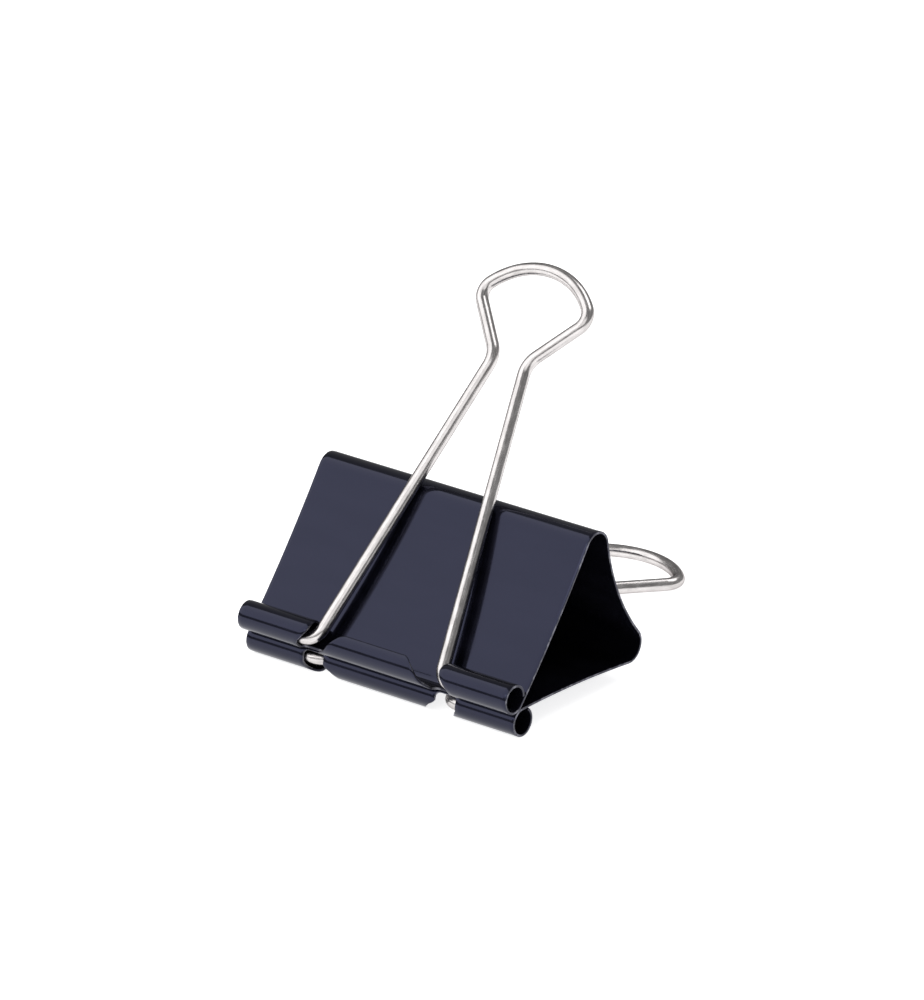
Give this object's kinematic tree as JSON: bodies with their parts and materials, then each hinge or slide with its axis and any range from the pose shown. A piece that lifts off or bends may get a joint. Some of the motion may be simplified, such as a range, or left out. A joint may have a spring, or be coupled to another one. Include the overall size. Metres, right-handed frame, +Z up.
{
  "type": "foldback clip",
  "caption": "Large foldback paper clip: a black sprung-steel triangular body with rolled jaws, and two bent-wire handles that fold back over it.",
  "frame": {"origin": "middle of the grip line, where the two rolled jaws meet", "axes": "+X along the jaws; +Y from the jaws towards the spine, level, as the clip lies on a table; +Z up. The clip lies on its lower roll and on the end of its lower handle, so its own middle plane is tilted 24.5 degrees up from Y"},
  "size_m": [0.051, 0.0689, 0.0564],
  "materials": {
    "spring_steel": "gloss black paint on spring-steel sheet, thin bare grey line along the cut edges",
    "wire": "bright nickel plate on drawn wire, faint lengthwise drawing lines"
  },
  "bodies": {
    "spine": {"spine": "spring_steel"},
    "upper_jaw": {"upper_jaw": "spring_steel"},
    "lower_jaw": {"lower_jaw": "spring_steel"},
    "upper_handle": {"upper_handle": "wire"},
    "lower_handle": {"lower_handle": "wire"}
  },
  "joints": [
    {"name": "upper_jaw_flex", "type": "hinge", "parent": "spine", "child": "upper_jaw", "pos_m": [0, 0.01742, 0.02206], "axis": [-1, 0, 0], "range_deg": [0, 28], "stiffness_Nm_per_rad": 2.7},
    {"name": "lower_jaw_flex", "type": "hinge", "parent": "spine", "child": "lower_jaw", "pos_m": [0, 0.02808, -0.00132], "axis": [1, 0, 0], "range_deg": [0, 28], "stiffness_Nm_per_rad": 2.7},
    {"name": "upper_handle_turn", "type": "hinge", "parent": "upper_jaw", "child": "upper_handle", "pos_m": [0, -0.00146, 0.00157], "axis": [1, 0, 0], "range_deg": [0, 154]},
    {"name": "lower_handle_turn", "type": "hinge", "parent": "lower_jaw", "child": "lower_handle", "pos_m": [0, 0.00022, -0.00213], "axis": [-1, 0, 0], "range_deg": [0, 154]}
  ],
  "couplings": [
    {"joint": "upper_jaw_flex", "follows": "lower_jaw_flex", "ratio": 1}
  ]
}
